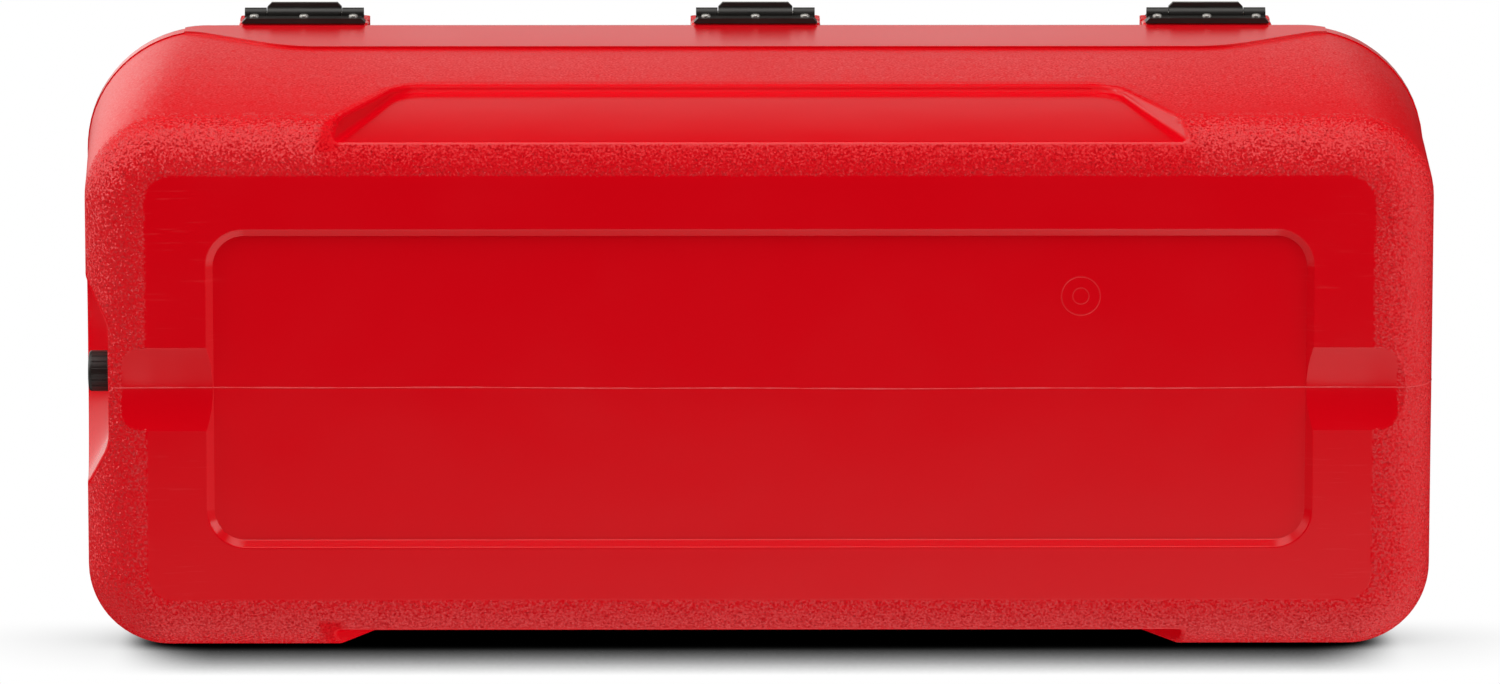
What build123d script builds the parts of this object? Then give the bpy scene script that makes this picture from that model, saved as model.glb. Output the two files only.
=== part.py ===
# Chest cooler: blow-moulded body and lid, foam filled, with three rear hinges, a drain and end handles.
# The cooler stands on its base ring at z = 0, front towards -Y, hinges on +Y, drain on the +X end.
# Pieces are drawn around the middle of the body and saved around the middle of the whole cooler.

import os
from math import cos, radians, sin, sqrt, tan

from build123d import *

os.makedirs("parts", exist_ok=True)

# Body size
base_length = 960.0
base_width = 380.0
body_height = 385.0
wall_draft = 3.0
corner_radius = 55.0
rim_corner = 92.0
bottom_round = 40.0
rim_round = 20.0
body_skin = 3.0
recess_overrun = 40.0

# Recessed panel and end grooves in the base
panel_end_margin = 85.5
panel_side_margin = 75.0
panel_corner = 27.0
panel_depth = 5.0
panel_edge_round = 1.5
groove_width = 60.0
groove_depth = 4.6

# Sloping recess low in the front and rear walls
toe_end_margin = 174.0
toe_head_step = 48.0
toe_head_height = 146.0
toe_head_corner = 24.0
toe_foot_depth = 14.2
toe_extra_tilt = 3.6
toe_side_slope = 20.0
toe_floor_round = 4.0
toe_edge_round = 4.0

# Recess around the drain
drain_recess_depth = 15.0
drain_recess_width = 86.0
drain_recess_head = 104.0
drain_recess_corner = 24.0
drain_recess_slope = 62.0
drain_recess_reach = 45.0
drain_recess_floor_round = 30.0
drain_recess_edge_round = 3.0

# Raised band around the rim, deeper behind the hinges, and the flat tongues under the hinges
rim_band_proud = 0.9
band_proud = 1.8
band_foot_margin = 155.0
band_head_margin = 74.0
band_foot_drop = 101.0
band_shoulder_drop = 35.0
band_bend = 60.0
tongue_width = 97.0
tongue_cover = 1.0
tongue_corner = 5.0
tongue_root = 26.0
tongue_edge_round = 2.5

# Tub liner
wall_thickness = 46.0
tub_floor = 50.0
tub_corner = 46.0
tub_round = 8.0
liner_skin = 3.0
flange_thickness = 3.0
flange_setback = 2.0

# Lid
lid_inset = 11.5
lid_gap = 0.8
lid_height = 56.0
lid_draft = 6.0
lid_round = 20.0
lid_edge_round = 2.5
lid_skin = 3.0
lid_panel_end_margin = 98.5
lid_panel_side_margin = 82.0
lid_panel_corner = 30.0
lid_panel_depth = 4.0
lid_pad_width = 97.0
lid_pad_lift = 5.2
lid_pad_height = 25.8
lid_pad_corner = 5.0
lid_pad_root = 25.0
lift_lip_width = 170.0
lift_lip_proud = 8.0
lift_lip_lift = 0.6
lift_lip_height = 15.0
lift_lip_corner = 6.0
lift_lip_root = 12.0
lift_lip_edge = 3.0
lid_pad_setback = 0.5
lid_liner_skin = 3.0
lid_liner_play = 0.1
plug_gap = 6.0
plug_depth = 20.0
plug_draft = 10.0
plug_corner = 58.0
plug_round = 8.0
gasket_width = 10.0
gasket_thickness = 2.7
gasket_setback = 6.0
gasket_play = 0.3

# Hinges
hinge_end_margin = 162.2
hinge_axis_lift = 2.0
leaf_width = 92.0
leaf_thickness = 3.8
leaf_end_chamfer = 3.0
leaf_drop = 18.0
leaf_swing_gap = 1.0
knuckle_radius = 4.5
knuckle_lift = 0.3
knuckle_length = 16.2
middle_knuckle_length = 55.6
knuckle_side_gap = 0.5
lid_leaf_width = 88.0
lid_leaf_height = 20.5
rib_rise = 7.8
rib_foot = 2.0
rib_head = 8.0
rib_end_chamfer = 3.2
pin_radius = 1.75
pin_clearance = 0.05
pin_end_play = 0.3
screw_pitch = 37.0
screw_edge = 7.6
lid_screw_edge = 11.5
screw_shank = 1.7
screw_head = 3.5
screw_head_height = 2.2
screw_crown_share = 0.75
screw_length = 12.0
screw_clearance = 0.05

# Drain
drain_rise = 16.0
drain_offset = 2.0
tube_radius = 7.5
tube_wall = 2.0
tube_clearance = 0.1
spigot_flange_radius = 13.0
spigot_flange = 2.0
stub_radius = 10.0
stub_length = 11.0
boss_radius = 14.0
boss_proud = 1.5
boss_length = 7.0
washer_radius = 12.0
washer_thickness = 1.5
nut_flats = 21.0
nut_thickness = 7.0
tube_overrun = 2.0
cap_radius = 14.75
cap_thread_clearance = 0.3
cap_foot_gap = 0.4
cap_end_wall = 2.2
cap_rib_count = 20
cap_rib_cut = 0.9
cap_rib_offset = 0.36
cap_edge_round = 2.5
seal_radius = 9.5
seal_thickness = 1.5
seal_play = 0.3

# End handles
pocket_width = 190.0
pocket_height = 78.0
pocket_drop = 88.0
pocket_corner = 16.0
pocket_depth = 30.0
pocket_slope = 8.0
pocket_floor_round = 6.0
pocket_edge_round = 4.0
bail_radius = 6.0
bail_half_span = 70.0
bail_drop = 44.0
bail_corner = 14.0
pivot_lift = 22.0
pivot_sink = 12.0
pivot_radius = 3.0
pivot_clearance = 0.05
grip_radius = 9.0
grip_length = 92.0
grip_clearance = 0.05
grip_edge_round = 2.0
bracket_width = 10.0
bracket_gap = 0.6
bracket_height = 16.0
bracket_nose = 7.0
bracket_round = 6.0
foot_height = 32.0
foot_drop = 12.0
foot_thickness = 4.0
foot_screw_first = 13.8
foot_screw_second = 22.8
foot_screw_head = 3.0
foot_screw_length = 10.0

# Levels and faces that follow from the sizes above
draft_rate = tan(radians(wall_draft))
rim_spread = body_height * draft_rate
rim_length = base_length + 2 * rim_spread
rim_width = base_width + 2 * rim_spread
corner_rate = (rim_corner - corner_radius) / body_height
panel_length = base_length - 2 * panel_end_margin
panel_width = base_width - 2 * panel_side_margin
toe_half_foot = base_length / 2 - toe_end_margin
toe_half_head = toe_half_foot - toe_head_step
drain_floor = base_length / 2 - drain_recess_depth
band_half_foot = rim_length / 2 - band_foot_margin
band_half_head = rim_length / 2 - band_head_margin
flange_top = body_height + flange_thickness
lid_bottom = body_height + lid_gap
lid_top = lid_bottom + lid_height
lid_length = rim_length - 2 * lid_inset
lid_width = rim_width - 2 * lid_inset
lid_panel_length = lid_length - 2 * lid_panel_end_margin
lid_panel_width = lid_width - 2 * lid_panel_side_margin
lid_liner_bottom = flange_top + gasket_play + gasket_thickness
lid_liner_top = lid_liner_bottom + lid_liner_skin
plug_bottom = flange_top - plug_depth
tongue_face = rim_width / 2 + band_proud
lid_pad_face = tongue_face - lid_pad_setback
lid_pad_bottom = body_height + lid_pad_lift
hinge_axis_y = tongue_face + knuckle_radius + knuckle_lift
hinge_axis_height = body_height + hinge_axis_lift
hinge_pitch = rim_length / 2 - hinge_end_margin
front_reach = base_width / 2 + (body_height - rim_round) * draft_rate
front_reach += rim_round - rim_round / cos(radians(wall_draft)) + rim_band_proud
middle_shift = (front_reach - hinge_axis_y - rib_rise) / 2
leaf_bottom = body_height - leaf_drop
leaf_top = hinge_axis_height - knuckle_radius - leaf_swing_gap
lid_leaf_bottom = hinge_axis_height + knuckle_radius + leaf_swing_gap
lid_leaf_top = lid_leaf_bottom + lid_leaf_height
tongue_foot = leaf_bottom + tongue_cover
screw_height = leaf_bottom + screw_edge
lid_screw_height = lid_leaf_bottom + lid_screw_edge
middle_knuckle_half = middle_knuckle_length / 2
knuckle_end = middle_knuckle_half + knuckle_side_gap + knuckle_length
drain_height = tub_floor + drain_rise
drain_bore = tube_radius - tube_wall
boss_face = base_length / 2 + drain_height * draft_rate - wall_thickness - boss_proud
stub_end = drain_floor + spigot_flange + stub_length
cap_foot = drain_floor + spigot_flange + cap_foot_gap
cap_bore = stub_radius + cap_thread_clearance
cap_end = stub_end + seal_play + seal_thickness + cap_end_wall
pocket_middle = body_height - pocket_drop
pivot_height = pocket_middle + pivot_lift
foot_screw_drops = (foot_screw_first, foot_screw_second)
hinge_places = {"left": hinge_pitch, "middle": 0.0, "right": -hinge_pitch}


def save(name, *solids):
    """Writes one piece, moved so that the middle of the whole cooler lies over the origin."""
    placed = [Pos(0, middle_shift, 0) * solid for solid in solids]
    piece = placed[0] if len(placed) == 1 else Compound(children=placed)
    export_step(piece, f"parts/{name}.step")


def spread(height):
    """Outward growth of each drafted wall at a height above the base."""
    return height * draft_rate


def grown(inset, slope):
    """Growth of a sloped recess outline when its floor and walls move by the same skin."""
    return inset * (1 - sin(radians(slope))) / cos(radians(slope))


def slab(length, width, radius, bottom, top, taper=0.0):
    """Rounded rectangular block between two heights."""
    plan = Plane.XY.offset(bottom) * RectangleRounded(length, width, radius)
    return extrude(plan, top - bottom, taper=taper)


def rod(radius, start, length, direction):
    """Round bar from a start point along a direction."""
    place = Plane(origin=start, z_dir=direction)
    return extrude(place * Circle(radius), length)


def body_form(inset):
    """Drafted body block with round bottom and rim edges, every face moved in by the inset."""
    skin = inset / cos(radians(wall_draft))
    sections = []
    for level in (inset, body_height - inset):
        growth = spread(level) - skin
        corner = corner_radius + corner_rate * level - skin
        plan = RectangleRounded(base_length + 2 * growth, base_width + 2 * growth, corner)
        sections.append(Plane.XY.offset(level) * plan)
    block = loft(sections, ruled=True)
    block = fillet(block.faces().sort_by(Axis.Z)[0].edges(), bottom_round - inset)
    return fillet(block.faces().sort_by(Axis.Z)[-1].edges(), rim_round - inset)


def wall_plane(side):
    """Plane of the rear (+1) or front (-1) wall, local y running up the wall."""
    lean = radians(wall_draft)
    return Plane(
        origin=(0, side * base_width / 2, 0),
        x_dir=(-side, 0, 0),
        z_dir=(0, side * cos(lean), -sin(lean)),
    )


def end_plane(side):
    """Plane of the drain end (+1) or plain end (-1) wall, local y running up the wall."""
    lean = radians(wall_draft)
    return Plane(
        origin=(side * base_length / 2, 0, 0),
        x_dir=(0, side, 0),
        z_dir=(side * cos(lean), 0, -sin(lean)),
    )


def toe_recess(side, inset):
    """Cutter of the sloping recess low in the front or rear wall."""
    lean = radians(wall_draft + toe_extra_tilt)
    floor = Plane(
        origin=(0, side * (base_width / 2 - toe_foot_depth), 0),
        x_dir=(-side, 0, 0),
        z_dir=(0, side * cos(lean), -sin(lean)),
    )
    run = (toe_half_foot - toe_half_head) / toe_head_height
    low = -recess_overrun
    half_low = toe_half_foot - low * run
    outline = Polygon(
        (-half_low, low),
        (half_low, low),
        (toe_half_head, toe_head_height),
        (-toe_half_head, toe_head_height),
        align=None,
    )
    outline = fillet(outline.vertices().group_by(Axis.Y)[-1], toe_head_corner)
    if inset > 0:
        outline = offset(outline, grown(inset, toe_side_slope))
    cutter = extrude(floor.offset(-inset) * outline, inset + recess_overrun, taper=-toe_side_slope)
    floor_face = cutter.faces().sort_by(Axis.Y)[0 if side > 0 else -1]
    return fillet(floor_face.edges(), toe_floor_round + inset)


def drain_recess(inset):
    """Cutter of the sloping recess around the drain."""
    floor = Plane(origin=(drain_floor - inset, drain_offset, 0), x_dir=(0, 1, 0), z_dir=(1, 0, 0))
    low = -recess_overrun
    growth = grown(inset, drain_recess_slope)
    outline = RectangleRounded(
        drain_recess_width + 2 * growth,
        drain_recess_head - low + 2 * growth,
        drain_recess_corner + growth,
    )
    cutter = extrude(
        floor * Pos(0, (drain_recess_head + low) / 2) * outline,
        drain_recess_reach + inset,
        taper=-drain_recess_slope,
    )
    return fillet(cutter.faces().sort_by(Axis.X)[0].edges(), drain_recess_floor_round + inset)


def handle_pocket(side, inset):
    """Cutter of the handle pocket in an end wall."""
    growth = grown(inset, pocket_slope)
    outline = RectangleRounded(
        pocket_width + 2 * growth,
        pocket_height + 2 * growth,
        pocket_corner + growth,
    )
    floor = end_plane(side).offset(-pocket_depth - inset)
    cutter = extrude(floor * Pos(0, pocket_middle) * outline, 1.5 * pocket_depth + inset, taper=-pocket_slope)
    floor_face = cutter.faces().sort_by(Axis.X)[0 if side > 0 else -1]
    return fillet(floor_face.edges(), pocket_floor_round + inset)


def base_panel(inset):
    """Cutter of the recessed base panel, with a 45 degree step around it."""
    growth = inset * (sqrt(2) - 1) + 1
    return slab(
        panel_length + 2 * growth,
        panel_width + 2 * growth,
        panel_corner + growth,
        inset - 1,
        inset + panel_depth,
        45,
    )


def base_groove(side, inset):
    """Cutter of the shallow groove that leads from the base panel out over the end."""
    radius = (groove_width**2 / 4 + groove_depth**2) / (2 * groove_depth)
    start = panel_length / 2 - 2 * panel_depth
    return rod(radius + inset, (side * start, 0, groove_depth - radius), 200, (side, 0, 0))


def body_cutters(inset):
    """Every recess of the body with its edge rounding, walls and floor moved in by the inset."""
    return [
        (base_panel(inset), panel_edge_round),
        (toe_recess(1, inset), toe_edge_round),
        (toe_recess(-1, inset), toe_edge_round),
        (handle_pocket(1, inset), pocket_edge_round),
        (handle_pocket(-1, inset), pocket_edge_round),
        (drain_recess(inset), drain_recess_edge_round),
        (base_groove(1, inset), 0.0),
        (base_groove(-1, inset), 0.0),
    ]


def tub_form(growth, top):
    """Tub block from its floor up to a level, grown outwards by the liner thickness."""
    floor = tub_floor - growth
    reach = spread(floor) - wall_thickness + growth / cos(radians(wall_draft))
    block = slab(
        base_length + 2 * reach,
        base_width + 2 * reach,
        tub_corner + growth,
        floor,
        top,
        -wall_draft,
    )
    return fillet(block.faces().sort_by(Axis.Z)[0].edges(), tub_round + growth)


def lid_form(inset, bottom):
    """Lid block from a level up to its top, every face moved in by the inset."""
    growth = -lid_inset - inset / cos(radians(lid_draft))
    growth -= (bottom - lid_bottom) * tan(radians(lid_draft))
    block = slab(
        rim_length + 2 * growth,
        rim_width + 2 * growth,
        rim_corner + growth,
        bottom,
        lid_top - inset,
        lid_draft,
    )
    return fillet(block.faces().sort_by(Axis.Z)[-1].edges(), lid_round - inset)


def lid_recess(inset):
    """Cutter of the shallow panel in the lid top."""
    growth = inset * (sqrt(2) - 1) + 1
    top = lid_top - inset
    plan = RectangleRounded(
        lid_panel_length + 2 * growth,
        lid_panel_width + 2 * growth,
        lid_panel_corner + growth,
    )
    return extrude(Plane.XY.offset(top + 1) * plan, -(lid_panel_depth + 1), taper=45)


def plug_form(inset, top):
    """Block of the lid plug that hangs into the tub mouth, moved in by the inset."""
    reach = spread(flange_top) - wall_thickness - plug_gap - inset / cos(radians(plug_draft))
    reach += (top - flange_top) * tan(radians(plug_draft))
    plan = RectangleRounded(base_length + 2 * reach, base_width + 2 * reach, plug_corner - inset)
    block = extrude(Plane.XY.offset(top) * plan, plug_bottom + inset - top, taper=plug_draft)
    return fillet(block.faces().sort_by(Axis.Z)[0].edges(), plug_round - inset)


def pan_screw(start, direction, length, shank=screw_shank, head=screw_head):
    """Pan-head screw whose head sits on the start point and whose shank runs along the direction."""
    back = Vector(*direction) * -screw_head_height
    dome = rod(head, tuple(Vector(*start) + back), screw_head_height, direction)
    crown = dome.faces().sort_by(Axis(origin=start, direction=direction))[0]
    dome = fillet(crown.edges(), screw_head_height * screw_crown_share)
    return dome + rod(shank, start, length, direction)


# Body shell, one hollow blow moulding: walls, base panel, recesses, hinge band and hinge tongues
hinge_screw_lines = [
    place + step * screw_pitch for place in hinge_places.values() for step in (-1, 0, 1)
]
band_outline = Polygon(
    (-band_half_foot, body_height - band_foot_drop),
    (band_half_foot, body_height - band_foot_drop),
    (band_half_head, body_height - band_shoulder_drop),
    (band_half_head, body_height + rim_round),
    (-band_half_head, body_height + rim_round),
    (-band_half_head, body_height - band_shoulder_drop),
    align=None,
)
band_outline = fillet(band_outline.vertices().group_by(Axis.Y)[0], band_bend)
band_block = extrude(wall_plane(1).offset(-30) * band_outline, 60)
hinge_band = body_form(-band_proud) & band_block
hinge_band = split(hinge_band, Plane.XY.offset(body_height), keep=Keep.BOTTOM)
rim_band = split(
    body_form(-rim_band_proud), Plane.XY.offset(body_height - band_shoulder_drop), keep=Keep.TOP
)
rim_band = split(rim_band, Plane.XY.offset(body_height), keep=Keep.BOTTOM)
tongue_plan = RectangleRounded(tongue_width, 2 * (body_height - tongue_foot), tongue_corner)
solid_body = body_form(0) + rim_band + hinge_band
for place in hinge_places.values():
    tongue_plane = Plane(origin=(place, tongue_face, body_height), x_dir=(-1, 0, 0), z_dir=(0, 1, 0))
    tongue = extrude(tongue_plane * tongue_plan, -tongue_root)
    tongue = fillet(tongue.faces().sort_by(Axis.Y)[-1].edges(), tongue_edge_round)
    tongue = split(tongue, Plane.XY.offset(body_height), keep=Keep.BOTTOM)
    solid_body = solid_body + tongue
for cutter, edge_round in body_cutters(0):
    uncut = solid_body
    solid_body = uncut - cutter
    if edge_round > 0:
        solid_body = fillet(new_edges(uncut, cutter, combined=solid_body), edge_round)

core = body_form(body_skin)
for cutter, edge_round in body_cutters(body_skin):
    core = core - cutter

drain_line = rod(
    tube_radius + tube_clearance,
    (boss_face - 20, drain_offset, drain_height),
    120,
    (1, 0, 0),
)
body_screw_holes = [
    rod(screw_shank + screw_clearance, (x, tongue_face + 1, screw_height), screw_length + 2, (0, -1, 0))
    for x in hinge_screw_lines
]
foot_spots = [
    (side, turn * (bail_half_span + bail_radius + bracket_gap + bracket_width / 2), drop)
    for side in (1, -1)
    for turn in (1, -1)
    for drop in foot_screw_drops
]


def foot_screw_seat(side, across, drop):
    """Start point and inward direction of a bracket screw, on top of the bracket foot."""
    plane = end_plane(side)
    height = pivot_height / cos(radians(wall_draft)) - drop
    spot = plane.from_local_coords((across, height, -pocket_depth + foot_thickness))
    return tuple(spot), tuple(-plane.z_dir)


foot_holes = []
for side, across, drop in foot_spots:
    seat, inward = foot_screw_seat(side, across, drop)
    foot_holes.append(rod(screw_shank + screw_clearance, seat, foot_screw_length + 1, inward))

body_shell = solid_body - core - tub_form(liner_skin, body_height + 1) - drain_line
body_shell = body_shell - body_screw_holes - foot_holes
save("body_shell", body_shell)

# Body foam, poured between shell and liner
body_foam = core - tub_form(liner_skin, body_height) - drain_line
body_foam = body_foam - body_screw_holes - foot_holes

# Liner, a white tub whose flange lies on the rim, with a flat boss around the drain hole
flange_plan = slab(
    rim_length - 2 * rim_round - 2 * flange_setback,
    rim_width - 2 * rim_round - 2 * flange_setback,
    rim_corner - rim_round - flange_setback,
    body_height,
    flange_top,
)
drain_boss = rod(boss_radius, (boss_face, drain_offset, drain_height), boss_length, (1, 0, 0))
body_foam = body_foam - drain_boss
save("body_foam", body_foam)
body_liner = tub_form(liner_skin, body_height) + flange_plan
body_liner = body_liner - tub_form(0, flange_top + 1) + drain_boss - drain_line
save("body_liner", body_liner)

# Lid shell, blow-moulded cover with a hinge pad behind each hinge
lid_solid = lid_form(0, lid_bottom)
lid_solid = fillet(lid_solid.faces().sort_by(Axis.Z)[0].edges(), lid_edge_round) - lid_recess(0)
for place in hinge_places.values():
    pad_plane = Plane(
        origin=(place, lid_pad_face, lid_pad_bottom + lid_pad_height / 2),
        x_dir=(-1, 0, 0),
        z_dir=(0, 1, 0),
    )
    pad = extrude(pad_plane * RectangleRounded(lid_pad_width, lid_pad_height, lid_pad_corner), -lid_pad_root)
    lid_solid = lid_solid + pad
lip_plane = Plane(
    origin=(0, -lid_width / 2 - lift_lip_proud, lid_bottom + lift_lip_lift + lift_lip_height / 2),
    x_dir=(1, 0, 0),
    z_dir=(0, -1, 0),
)
lip_outline = RectangleRounded(lift_lip_width, lift_lip_height, lift_lip_corner)
lift_lip = extrude(lip_plane * lip_outline, -lift_lip_proud - lift_lip_root)
lift_lip = fillet(lift_lip.faces().sort_by(Axis.Y)[0].edges(), lift_lip_edge)
lid_solid = lid_solid + lift_lip
lid_hollow = lid_form(lid_skin, lid_bottom - 1) - lid_recess(lid_skin)
lid_screw_holes = [
    rod(screw_shank + screw_clearance, (x, lid_pad_face + 1, lid_screw_height), screw_length + 2, (0, -1, 0))
    for x in hinge_screw_lines
]
lid_shell = lid_solid - lid_hollow - lid_screw_holes
save("lid_shell", lid_shell)

# Lid liner, the pan that closes the lid underside and hangs into the tub mouth as a plug
lid_plate = lid_form(lid_skin + lid_liner_play, lid_liner_bottom)
lid_plate = split(lid_plate, Plane.XY.offset(lid_liner_top), keep=Keep.BOTTOM)
lid_liner = lid_plate + plug_form(0, lid_liner_bottom + 1)
lid_liner = lid_liner - plug_form(lid_liner_skin, lid_liner_top + 1)
save("lid_liner", lid_liner)

# Lid foam, fills the lid above the pan and inside the plug
lid_foam = lid_form(lid_skin, lid_liner_top) - lid_recess(lid_skin)
lid_foam = lid_foam + plug_form(lid_liner_skin, lid_liner_top) - lid_screw_holes
save("lid_foam", lid_foam)

# Lid gasket, a soft ring under the lid pan that meets the liner flange
gasket_length = rim_length - 2 * rim_round - 2 * flange_setback - 2 * gasket_setback
gasket_breadth = rim_width - 2 * rim_round - 2 * flange_setback - 2 * gasket_setback
gasket_corner = rim_corner - rim_round - flange_setback - gasket_setback
lid_gasket = slab(gasket_length, gasket_breadth, gasket_corner, flange_top + gasket_play, lid_liner_bottom)
lid_gasket = lid_gasket - slab(
    gasket_length - 2 * gasket_width,
    gasket_breadth - 2 * gasket_width,
    gasket_corner - gasket_width,
    flange_top,
    lid_liner_bottom + 1,
)
save("lid_gasket", lid_gasket)

# Hinges, a body leaf with two outer knuckles, a lid leaf with a wide middle knuckle, and a steel pin
for name, place in hinge_places.items():
    hinge_pin_hole = rod(
        pin_radius + pin_clearance,
        (place - knuckle_end - 1, hinge_axis_y, hinge_axis_height),
        2 * knuckle_end + 2,
        (1, 0, 0),
    )
    plate_middle = (leaf_bottom + leaf_top) / 2
    plate = Pos(place, tongue_face + leaf_thickness / 2, plate_middle) * Box(
        leaf_width, leaf_thickness, leaf_top - leaf_bottom
    )
    outer_edges = plate.edges().filter_by(Axis.Z).group_by(Axis.Y)[-1]
    body_leaf = chamfer(outer_edges, leaf_end_chamfer)
    for side in (-1, 1):
        start = middle_knuckle_half + knuckle_side_gap
        knuckle_middle = place + side * (start + knuckle_length / 2)
        knuckle = rod(
            knuckle_radius,
            (knuckle_middle - knuckle_length / 2, hinge_axis_y, hinge_axis_height),
            knuckle_length,
            (1, 0, 0),
        )
        web_height = hinge_axis_height - leaf_top + 1
        web = Pos(
            knuckle_middle,
            tongue_face + leaf_thickness / 2 + knuckle_lift / 2,
            leaf_top - 1 + web_height / 2,
        ) * Box(knuckle_length, leaf_thickness - knuckle_lift, web_height)
        body_leaf = body_leaf + knuckle + web
    body_leaf = body_leaf - hinge_pin_hole
    for step in (-1, 0, 1):
        body_leaf = body_leaf - rod(
            screw_shank + screw_clearance,
            (place + step * screw_pitch, tongue_face - 1, screw_height),
            leaf_thickness + 2,
            (0, 1, 0),
        )
    save(f"hinge_{name}_body_leaf", body_leaf)

    lid_plate_middle = (lid_leaf_bottom + lid_leaf_top) / 2
    lid_leaf = Pos(place, lid_pad_face + leaf_thickness / 2, lid_plate_middle) * Box(
        lid_leaf_width, leaf_thickness, lid_leaf_top - lid_leaf_bottom
    )
    lid_leaf = chamfer(lid_leaf.edges().filter_by(Axis.Z).group_by(Axis.Y)[-1], leaf_end_chamfer)
    middle_knuckle = rod(
        knuckle_radius,
        (place - middle_knuckle_half, hinge_axis_y, hinge_axis_height),
        2 * middle_knuckle_half,
        (1, 0, 0),
    )
    lid_web_height = lid_leaf_bottom + 1 - hinge_axis_height
    lid_web = Pos(
        place,
        lid_pad_face + leaf_thickness / 2,
        hinge_axis_height + lid_web_height / 2,
    ) * Box(2 * middle_knuckle_half, leaf_thickness, lid_web_height)
    rib_reach = hinge_axis_y + rib_rise - lid_pad_face
    rib = Pos(
        place,
        lid_pad_face + rib_reach / 2,
        hinge_axis_height + (rib_foot + rib_head) / 2,
    ) * Box(2 * middle_knuckle_half, rib_reach, rib_head - rib_foot)
    rib = chamfer(rib.edges().filter_by(Axis.Z).group_by(Axis.Y)[-1], rib_end_chamfer)
    lid_leaf = lid_leaf + middle_knuckle + lid_web + rib - hinge_pin_hole
    for step in (-1, 0, 1):
        lid_leaf = lid_leaf - rod(
            screw_shank + screw_clearance,
            (place + step * screw_pitch, lid_pad_face - 1, lid_screw_height),
            leaf_thickness + 2,
            (0, 1, 0),
        )
    save(f"hinge_{name}_lid_leaf", lid_leaf)

    hinge_pin = rod(
        pin_radius,
        (place - knuckle_end + pin_end_play, hinge_axis_y, hinge_axis_height),
        2 * knuckle_end - 2 * pin_end_play,
        (1, 0, 0),
    )
    save(f"hinge_{name}_pin", hinge_pin)

# Hinge screws, three pan heads in each leaf
body_screws = [
    pan_screw((x, tongue_face + leaf_thickness, screw_height), (0, -1, 0), screw_length)
    for x in hinge_screw_lines
]
save("hinge_body_screws", *body_screws)
lid_screws = [
    pan_screw((x, lid_pad_face + leaf_thickness, lid_screw_height), (0, -1, 0), screw_length)
    for x in hinge_screw_lines
]
save("hinge_lid_screws", *lid_screws)

# Drain spigot, a flanged tube through the end wall with a stub for the cap
spigot_inner = boss_face - washer_thickness - nut_thickness - tube_overrun
drain_spigot = rod(
    tube_radius,
    (spigot_inner, drain_offset, drain_height),
    drain_floor - spigot_inner,
    (1, 0, 0),
)
drain_spigot = drain_spigot + rod(
    spigot_flange_radius, (drain_floor, drain_offset, drain_height), spigot_flange, (1, 0, 0)
)
drain_spigot = drain_spigot + rod(
    stub_radius,
    (drain_floor + spigot_flange, drain_offset, drain_height),
    stub_end - drain_floor - spigot_flange,
    (1, 0, 0),
)
drain_way = rod(drain_bore, (spigot_inner - 1, drain_offset, drain_height), 80, (1, 0, 0))
save("drain_spigot", drain_spigot - drain_way)

# Drain washer and nut, clamp the spigot against the liner boss from inside the tub
nut_hole = rod(
    tube_radius + tube_clearance, (spigot_inner, drain_offset, drain_height), 30, (1, 0, 0)
)
drain_washer = rod(
    washer_radius,
    (boss_face - washer_thickness, drain_offset, drain_height),
    washer_thickness,
    (1, 0, 0),
)
save("drain_washer", drain_washer - nut_hole)
nut_plane = Plane(
    origin=(boss_face - washer_thickness - nut_thickness, drain_offset, drain_height),
    x_dir=(0, 1, 0),
    z_dir=(1, 0, 0),
)
nut_outline = RegularPolygon(nut_flats / 2, 6, major_radius=False)
drain_nut = extrude(nut_plane * nut_outline, nut_thickness) - nut_hole
save("drain_nut", drain_nut)

# Drain cap, a ribbed cup that screws over the stub, with a soft seal in its end
drain_cap = rod(
    cap_radius, (cap_foot, drain_offset, drain_height), cap_end - cap_foot, (1, 0, 0)
)
drain_cap = fillet(drain_cap.faces().sort_by(Axis.X)[-1].edges(), cap_edge_round)
drain_cap = drain_cap - rod(
    cap_bore,
    (cap_foot - 1, drain_offset, drain_height),
    cap_end - cap_end_wall - cap_foot + 1,
    (1, 0, 0),
)
for index in range(cap_rib_count):
    turn = radians(360 * index / cap_rib_count)
    reach = cap_radius + cap_rib_offset
    drain_cap = drain_cap - rod(
        cap_rib_cut,
        (cap_foot - 1, drain_offset + reach * cos(turn), drain_height + reach * sin(turn)),
        cap_end - cap_foot - cap_edge_round + 1,
        (1, 0, 0),
    )
save("drain_cap", drain_cap)
drain_seal = rod(
    seal_radius,
    (cap_end - cap_end_wall - seal_thickness, drain_offset, drain_height),
    seal_thickness,
    (1, 0, 0),
)
save("drain_cap_seal", drain_seal)

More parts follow.
